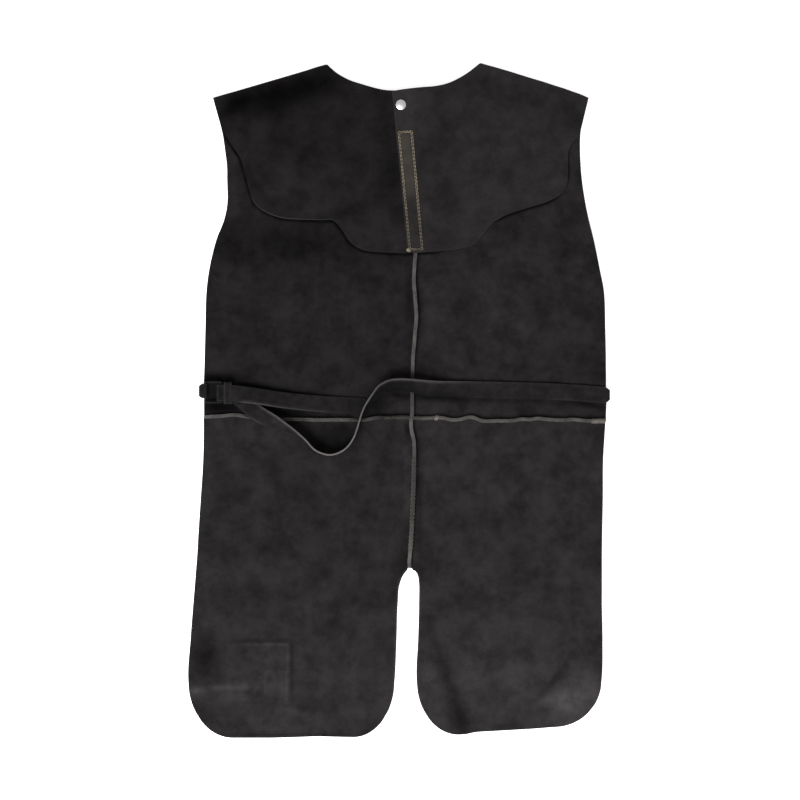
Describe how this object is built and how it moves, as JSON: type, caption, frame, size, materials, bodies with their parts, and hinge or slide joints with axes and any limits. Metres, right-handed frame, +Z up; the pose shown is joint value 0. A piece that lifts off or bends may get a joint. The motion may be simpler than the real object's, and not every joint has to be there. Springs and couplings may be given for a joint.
{
  "type": "welding apron",
  "caption": "Split-leg leather welding apron lying on its front, with an overlapping shoulder yoke, press stud and buckled waist strap.",
  "frame": {"origin": "middle of the object's box in plan, on the floor that the front of the apron lies on", "axes": "+X to the right as seen from above, +Y towards the neck, +Z up to the wearer's side"},
  "size_m": [0.666, 1.066, 0.0313],
  "materials": {
    "suede": "charcoal split leather with a matt nap",
    "strap": "charcoal split leather, cut edges paler",
    "tape": "black woven nylon",
    "snap": "bright nickel",
    "buckle": "black moulded plastic"
  },
  "bodies": {
    "root": {"bib_left": "suede", "bib_right": "suede", "leg_left": "suede", "leg_right": "suede", "yoke_left": "suede", "yoke_right": "suede", "loop_tape": "tape", "hook_tape": "tape", "snap_cap": "snap", "snap_stud": "snap", "waist_strap": "strap", "buckle_tab": "strap", "buckle": "buckle", "strap_keeper": "strap"}
  },
  "joints": []
}
